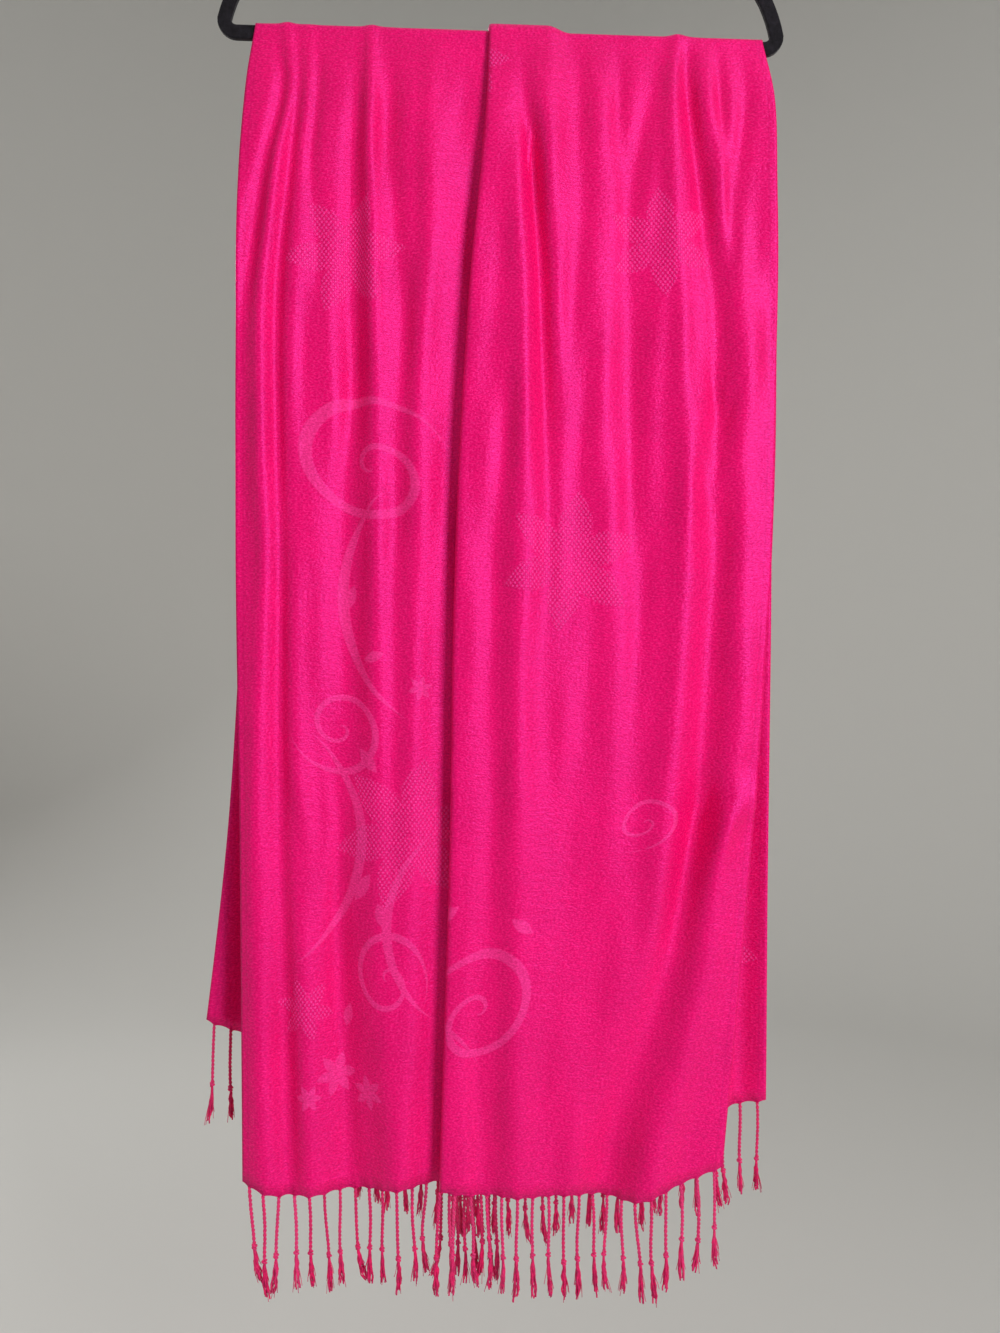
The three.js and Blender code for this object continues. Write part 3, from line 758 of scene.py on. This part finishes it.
    height = fine
    for layer, share in ((grain, 0.8), (crinkle, 1.1), (eyes, 0.8), (drawn, 0.3)):
        height = add(tree, "Math", {0: layer, 1: share, 2: height}, operation="MULTIPLY_ADD")
    bump = add(tree, "Bump", {"Strength": 0.7, "Distance": 0.0005, "Height": height})
    tangent = add(tree, "Tangent", direction_type="UV_MAP", uv_map="flat")
    rough = add(tree, "MapRange", {"Value": tone, "To Min": 0.40, "To Max": 0.52})
    surface = add(tree, "BsdfPrincipled", {
        "Base Color": colour,
        "Roughness": rough,
        "IOR": 1.5,
        "Specular IOR Level": 0.9,
        "Specular Tint": (1.0, 0.12, 0.82, 1.0),
        "Anisotropic": 0.5,
        "Anisotropic Rotation": 0.25,
        "Sheen Weight": 0.15,
        "Sheen Roughness": 0.35,
        "Sheen Tint": (1.0, 0.08, 0.6, 1.0),
        "Normal": bump,
        "Tangent": tangent,
    })
    add(tree, "OutputMaterial", {"Surface": surface})
    return material


def yarn_material(props):
    """Twisted viscose yarn: mottled deep and bright, its twisted plies paler than its tufts."""
    material, tree = new_material("twisted_viscose_yarn")
    flat = add(tree, "UVMap", uv_map="flat")
    cord = add(tree, "SeparateXYZ", {0: flat}, out="X")
    along = cord.node.outputs["Y"]
    # Fibres hang 0.4 mm apart and 2 mm long, drawn a little coarse so that they show
    place = add(tree, "TexCoord", out="Object")
    stretched = add(tree, "Mapping", {"Vector": place, "Scale": (2400, 2400, 500)})
    fibre = add(tree, "TexNoise", {"Vector": stretched, "Scale": 1.0, "Detail": 2.0})
    mottle = add(tree, "TexNoise", {"Vector": place, "Scale": 260.0, "Detail": 2.0})
    yarn = (*props.colour, 1)
    deep = (*(c * 0.62 for c in props.colour), 1)
    bright = linear("#FF5C9E", 1)
    shade = add(tree, "MapRange", {"Value": mottle, "From Min": 0.35, "From Max": 0.65})
    colour = add(tree, "Mix", {0: shade, 6: deep, 7: yarn}, out=2, data_type="RGBA")
    wisp = add(tree, "MapRange", {"Value": fibre, "From Min": 0.5, "From Max": 0.8, "To Max": 0.5})
    pale = add(tree, "Math", {0: cord, 1: 0.3, 2: wisp}, operation="MULTIPLY_ADD")
    slim = add(tree, "Math", {0: along, 1: KNOT_END}, operation="LESS_THAN")
    pale = add(tree, "Math", {0: slim, 1: 0.12, 2: pale}, operation="MULTIPLY_ADD", use_clamp=True)
    colour = add(tree, "Mix", {0: pale, 6: colour, 7: bright}, out=2, data_type="RGBA")
    bump = add(tree, "Bump", {"Strength": 0.5, "Distance": 0.0003, "Height": fibre})
    surface = add(tree, "BsdfPrincipled", {
        "Base Color": colour,
        "Roughness": 0.55,
        "Specular IOR Level": 0.6,
        "Specular Tint": (1.0, 0.2, 0.55, 1.0),
        "Sheen Weight": 0.25,
        "Sheen Roughness": 0.5,
        "Sheen Tint": (1.0, 0.15, 0.5, 1.0),
        "Normal": bump,
    })
    add(tree, "OutputMaterial", {"Surface": surface})
    return material


def flock_material(props):
    """Nylon flock on moulded ABS: short fibres stand up, so it is matt black with a grey rim."""
    material, tree = new_material("nylon_flock_on_abs")
    place = add(tree, "TexCoord", out="Object")
    # Flock fibres stand about 0.5 mm apart, in clumps of 4 mm
    fibre = add(tree, "TexNoise", {"Vector": place, "Scale": 1900.0, "Detail": 2.0})
    clump = add(tree, "TexNoise", {"Vector": place, "Scale": 260.0, "Detail": 3.0})
    shade = add(tree, "Math", {0: fibre, 1: clump}, operation="MULTIPLY")
    mix = add(tree, "MapRange", {"Value": shade, "From Min": 0.12, "From Max": 0.42})
    black = (*props.flock, 1)
    worn = linear("#26232A", 1)
    colour = add(tree, "Mix", {0: mix, 6: black, 7: worn}, out=2, data_type="RGBA")
    bump = add(tree, "Bump", {"Strength": 0.6, "Distance": 0.0003, "Height": fibre})
    surface = add(tree, "BsdfPrincipled", {
        "Base Color": colour,
        "Roughness": 0.95,
        "Specular IOR Level": 0.2,
        "Sheen Weight": 0.35,
        "Sheen Roughness": 0.35,
        "Normal": bump,
    })
    add(tree, "OutputMaterial", {"Surface": surface})
    return material


def chrome_material():
    """Bright chrome on drawn steel wire, with faint draw marks and handling haze."""
    material, tree = new_material("chrome_plated_steel_wire")
    place = add(tree, "TexCoord", out="Object")
    haze = add(tree, "TexNoise", {"Vector": place, "Scale": 180.0, "Detail": 4.0})
    inputs = {"Value": haze, "From Min": 0.35, "From Max": 0.7, "To Min": 0.1, "To Max": 0.28}
    rough = add(tree, "MapRange", inputs)
    marks = add(tree, "Mapping", {"Vector": place, "Scale": (3000, 3000, 300)})
    drawn = add(tree, "TexNoise", {"Vector": marks, "Scale": 1.0, "Detail": 1.0})
    bump = add(tree, "Bump", {"Strength": 0.1, "Distance": 0.0001, "Height": drawn})
    surface = add(tree, "BsdfPrincipled", {
        "Base Color": linear("#9FA1A8", 1),
        "Metallic": 1.0,
        "Roughness": rough,
        "Normal": bump,
    })
    add(tree, "OutputMaterial", {"Surface": surface})
    return material


def stage_material(props):
    """Matt painted paper sweep."""
    material, tree = new_material("matt_paper_sweep")
    surface = add(tree, "BsdfPrincipled", {"Base Color": (*props.floor, 1), "Roughness": 0.9})
    add(tree, "OutputMaterial", {"Surface": surface})
    return material


class SHAWL_OT_cloth(bpy.types.Operator):
    """Drapes the woven sheet over the bar as one thin shell"""
    bl_idname = "shawl.cloth"
    bl_label = "Drape the shawl"

    def execute(self, context):
        props = context.scene.shawl_cloth
        rows, flat, along = drape(context.scene.shawl_fringe.cords, props.ripple / MM)
        down, across, _ = rows.shape
        index = np.arange(down * across).reshape(down, across)
        # Faces run so that the front fall's side towards -Y is outside
        faces = np.stack((index[:-1, :-1], index[:-1, 1:], index[1:, 1:], index[1:, :-1]), axis=-1)
        uvs = np.stack((np.broadcast_to(flat * props.width, along.shape), along), axis=-1)
        places = uvs.reshape(-1, 2)
        sheet = new_mesh("shawl_sheet", rows.reshape(-1, 3), faces.reshape(-1, 4).tolist(), places)
        sheet.data.materials.append(shawl_material(props))
        place_motifs(sheet, places)
        only(sheet)
        shell = sheet.modifiers.new("thickness", "SOLIDIFY")
        shell.thickness = props.thick
        shell.offset = 0
        shell.use_rim = True
        bpy.ops.object.modifier_apply(modifier=shell.name)
        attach(sheet, "root")
        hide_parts("cloth_front", "cloth_over_bar", "cloth_back")
        return {"FINISHED"}


def tube(path, radii, sides, lap, cord):
    """Rings round a path, closed at both ends, with a UV pair for each point."""
    path = np.asarray(path, float)
    count = len(path)
    ahead = np.gradient(path, axis=0)
    ahead /= np.linalg.norm(ahead, axis=1)[:, None]
    side = np.cross(ahead[0], (0.0, 1.0, 0.0))
    side /= np.linalg.norm(side)
    rings = []
    for i in range(count):
        side = side - ahead[i] * np.dot(side, ahead[i])
        side /= np.linalg.norm(side)
        other = np.cross(ahead[i], side)
        for k in range(sides):
            turn = 2 * math.pi * k / sides
            rings.append(path[i] + radii[i] * (math.cos(turn) * side + math.sin(turn) * other))
    faces = []
    for i in range(count - 1):
        for k in range(sides):
            n = (k + 1) % sides
            faces.append((i * sides + k, i * sides + n, (i + 1) * sides + n, (i + 1) * sides + k))
    faces.append(tuple(reversed(range(sides))))
    faces.append(tuple(range((count - 1) * sides, count * sides)))
    shares = np.repeat(np.linspace(lap[0], lap[1], count), sides)
    return np.array(rings), faces, np.stack((np.full(count * sides, cord), shares), axis=1)


def cord_shape(dice, length, ply):
    """One cord of the fringe, hanging from its own origin: two plies, a knot and a tuft."""
    tint = dice.random()
    knot_at = length * dice.uniform(0.56, 0.64)
    sway = dice.uniform(-1, 1)
    bend = dice.uniform(1.0, 3.0)

    def middle(s):
        across = sway * bend * math.sin(s / length * math.pi) ** 2
        return np.array((across, 0.6 * math.sin(s / 11 + sway), -s))

    parts = []
    turns = knot_at / TWIST_PITCH
    steps = int(turns * STEPS_PER_TURN)
    for half in (0, math.pi):
        path = []
        for i in range(steps + 1):
            s = knot_at * i / steps
            angle = 2 * math.pi * turns * i / steps + half
            path.append(middle(s) + ply * 0.85 * np.array((math.cos(angle), math.sin(angle), 0)))
        parts.append(tube(path, [ply] * len(path), 5, (0, PLY_END), tint))
    # The knot wraps one and a half times round the cord
    path = []
    for i in range(KNOT_STEPS + 1):
        angle = 3 * math.pi * i / KNOT_STEPS
        swell = ply * (1.9 - 0.5 * abs(2 * i / KNOT_STEPS - 1))
        centre = middle(knot_at - 1.2 + 3.2 * i / KNOT_STEPS)
        path.append(centre + swell * np.array((math.cos(angle), math.sin(angle), 0)))
    parts.append(tube(path, [ply * 1.25] * len(path), 6, (PLY_END, KNOT_END), tint))
    # Below it the plies are loose: thick kinked ends that open into a blunt tuft, and frayed wisps
    rest = length - knot_at
    fullness = dice.uniform(2.0, 3.3)
    hook = dice.gauss(0, 2.2) if dice.random() < 0.75 else dice.uniform(-7, 7)

    def tuft(s):
        return middle(knot_at + rest * s) + np.array((hook * s * s, 0, abs(hook) * 0.2 * s ** 3))

    for k in range(STRANDS):
        reach = dice.uniform(0.78, 1.0)
        heading = 2 * math.pi * (k + dice.random()) / STRANDS
        twist = dice.uniform(1.0, 3.2)
        splay = fullness * dice.uniform(0.55, 1.0)
        wave = dice.uniform(0, 2 * math.pi)
        kink = dice.uniform(0.25, 0.75)
        path = []
        for i in range(STRAND_STEPS + 1):
            s = i / STRAND_STEPS
            off = splay * (0.12 + 0.88 * s ** 1.3) * (1 - 0.35 * ease((s - 0.8) / 0.2))
            turn = heading + twist * s
            curl = kink * math.sin(wave + s * 15) * min(1, 3 * s)
            shift = np.array((off * math.cos(turn) + curl, off * math.sin(turn) + curl * 0.5, 0))
            path.append(tuft(reach * s) + shift)
        radii = [ply * (0.8 + 0.45 * math.sin(math.pi * min(1, i / 9))) for i in range(len(path))]
        parts.append(tube(path, radii, 5, (KNOT_END, 1), tint * dice.uniform(0.3, 1.0)))
    for _ in range(WISPS):
        reach = dice.uniform(0.5, 1.06)
        heading = dice.uniform(0, 2 * math.pi)
        splay = dice.uniform(1.6, 4.2)
        path = []
        for i in range(WISP_STEPS + 1):
            s = i / WISP_STEPS
            off = splay * s ** 1.2 + 0.4 * math.sin(heading * 3 + 6 * s)
            shift = np.array((off * math.cos(heading), off * math.sin(heading), 0))
            path.append(tuft(reach * s) + shift)
        parts.append(tube(path, [ply * 0.34] * len(path), 3, (0.7, 1), tint))
    return parts


def fringe_mesh(name, hem, props, seed):
    """Cords at their even places along a hem, joined into one mesh."""
    dice = random.Random(seed)
    points, faces, uvs = [], [], []
    count = 0
    for k in range(props.cords):
        place = hem[STEPS_PER_CORD // 2 + k * STEPS_PER_CORD]
        length = props.length / MM * dice.uniform(0.9, 1.03)
        lean = math.radians(dice.gauss(-0.6, 1.4))
        turn = dice.uniform(0, 2 * math.pi)
        for verts, quads, uv in cord_shape(dice, length, props.ply / MM):
            # Sways reach half as far out of the cloth's plane as along it
            x = verts[:, 0] * math.cos(turn) - verts[:, 1] * math.sin(turn)
            y = verts[:, 0] * math.sin(turn) * 0.5 + verts[:, 1] * math.cos(turn)
            moved = np.stack(
                (x + verts[:, 2] * math.sin(lean), y, verts[:, 2] * math.cos(lean)), axis=1)
            points.append(moved * MM + place + (0, 0, CORD_OVERLAP))
            faces.extend(tuple(i + count for i in quad) for quad in quads)
            uvs.append(uv)
            count += len(verts)
    return new_mesh(name, np.concatenate(points), faces, np.concatenate(uvs))


class SHAWL_OT_fringe(bpy.types.Operator):
    """Twists and knots the cords of both fringes"""
    bl_idname = "shawl.fringe"
    bl_label = "Knot the fringes"

    def execute(self, context):
        props = context.scene.shawl_fringe
        cloth = context.scene.shawl_cloth
        rows, _, along = drape(props.cords, cloth.ripple / MM)
        yarn = yarn_material(props)
        for name, hem, node, seed in (
            ("knotted_fringe_front", rows[0], "fringe_front", 11),
            ("knotted_fringe_back", rows[-1], "fringe_back", 23),
        ):
            fringe = fringe_mesh(name, hem, props, seed)
            fringe.data.materials.append(yarn)
            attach(fringe, "root")
            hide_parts(node)
        return {"FINISHED"}


class SHAWL_OT_hanger(bpy.types.Operator):
    """Finishes the flocked frame and the wire hook"""
    bl_idname = "shawl.hanger"
    bl_label = "Finish the hanger"

    def execute(self, context):
        props = context.scene.shawl_hanger
        for node, material in (
            ("hanger_frame", flock_material(props)),
            ("hanger_hook", chrome_material()),
        ):
            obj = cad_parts[node]
            obj.data.materials.clear()
            obj.data.materials.append(material)
        return {"FINISHED"}


# The picture's height and the camera's focal length in pixels, and the camera's height in metres
PICTURE_HEIGHT = 1333
FOCAL_PIXELS = 1002
EYE_HEIGHT = -0.688


class SHAWL_OT_stage(bpy.types.Operator):
    """Sets the floor sweep, the soft lights and the camera"""
    bl_idname = "shawl.stage"
    bl_label = "Set the stage"

    def execute(self, context):
        props = context.scene.shawl_stage
        # A round cove, open above, stands behind the object from every side
        floor_z, wall, sweep, rim_z = -1.75, 3.6, 1.2, 3.2
        sides, sweep_steps = 72, 12
        profile = [(0.05, floor_z), (1.2, floor_z)]
        for i in range(sweep_steps + 1):
            angle = math.radians(90 * i / sweep_steps)
            radius = wall - sweep + sweep * math.sin(angle)
            profile.append((radius, floor_z + sweep - sweep * math.cos(angle)))
        profile.append((wall, rim_z))
        points, faces = [], []
        for radius, height in profile:
            for k in range(sides):
                turn = 2 * math.pi * k / sides
                points.append((radius * math.cos(turn), radius * math.sin(turn), height))
        for i in range(len(profile) - 1):
            for k in range(sides):
                n = (k + 1) % sides
                faces.append((i * sides + k, (i + 1) * sides + k, (i + 1) * sides + n, i * sides + n))
        faces.append(tuple(range(sides)))
        backdrop = new_mesh("floor_and_cove", np.array(points), faces)
        backdrop.data.materials.append(stage_material(props))

        for name, place, aim, size, power in (
            ("key_softbox", (1.65, -2.3, 0.2), (0.0, 0.0, -0.75), 0.95, 60.0),
            ("fill_softbox", (-1.8, -2.1, -0.5), (0.0, 0.0, -0.65), 1.4, 3.0),
            ("back_softbox", (-2.1, 1.7, 0.2), (0.0, 0.0, -0.75), 1.3, 32.0),
            ("overhead_softbox", (0.0, 0.0, 2.6), (0.0, 0.0, -1.0), 4.0, 16.0),
        ):
            light = bpy.data.lights.new(name, "AREA")
            light.shape = "SQUARE"
            light.size = size
            light.energy = power
            lamp = bpy.data.objects.new(name, light)
            lamp.location = place
            away = np.array(aim) - np.array(place)
            tip = math.acos(-away[2] / np.linalg.norm(away))
            lamp.rotation_euler = (tip, 0, math.atan2(away[1], away[0]) - math.pi / 2)
            context.scene.collection.objects.link(lamp)

        world = bpy.data.worlds.new("soft_studio")
        world.use_nodes = True
        sky = world.node_tree.nodes["Background"]
        sky.inputs["Color"].default_value = linear("#EDEDEA", 1)
        sky.inputs["Strength"].default_value = 0.2
        context.scene.world = world
        context.scene.view_settings.view_transform = "Standard"

        # A level phone camera half way down the shawl
        camera = bpy.data.cameras.new("photo_camera")
        camera.sensor_width = 36.0
        camera.lens = camera.sensor_width * FOCAL_PIXELS / PICTURE_HEIGHT
        eye = bpy.data.objects.new("photo_camera", camera)
        eye.location = (-BAR_DROP * math.sin(TILT) * MM, -props.distance, EYE_HEIGHT)
        eye.rotation_euler = (math.radians(90), 0, 0)
        context.scene.collection.objects.link(eye)
        context.scene.camera = eye
        return {"FINISHED"}


class SHAWL_PT_tools(bpy.types.Panel):
    bl_idname = "SHAWL_PT_tools"
    bl_label = "Shawl on a hanger"
    bl_space_type = "VIEW_3D"
    bl_region_type = "UI"
    bl_category = "Shawl"

    def draw(self, context):
        for group, operator in (
            ("shawl_cloth", "shawl.cloth"),
            ("shawl_fringe", "shawl.fringe"),
            ("shawl_hanger", "shawl.hanger"),
            ("shawl_stage", "shawl.stage"),
        ):
            box = self.layout.box()
            props = getattr(context.scene, group)
            for name in props.bl_rna.properties.keys():
                if name not in ("rna_type", "name"):
                    box.prop(props, name)
            box.operator(operator)


GROUPS = {
    "shawl_cloth": ShawlCloth,
    "shawl_fringe": ShawlFringe,
    "shawl_hanger": ShawlHanger,
    "shawl_stage": ShawlStage,
}
OPERATORS = (SHAWL_OT_cloth, SHAWL_OT_fringe, SHAWL_OT_hanger, SHAWL_OT_stage)


def register():
    for name, group in GROUPS.items():
        bpy.utils.register_class(group)
        setattr(bpy.types.Scene, name, bpy.props.PointerProperty(type=group))
    for cls in (*OPERATORS, SHAWL_PT_tools):
        bpy.utils.register_class(cls)


def unregister():
    for cls in reversed((*OPERATORS, SHAWL_PT_tools)):
        bpy.utils.unregister_class(cls)
    for name, group in reversed(GROUPS.items()):
        delattr(bpy.types.Scene, name)
        bpy.utils.unregister_class(group)


def main():
    register()
    bpy.ops.shawl.cloth()
    bpy.ops.shawl.fringe()
    bpy.ops.shawl.hanger()
    bpy.ops.shawl.stage()


if __name__ == "__main__":
    main()
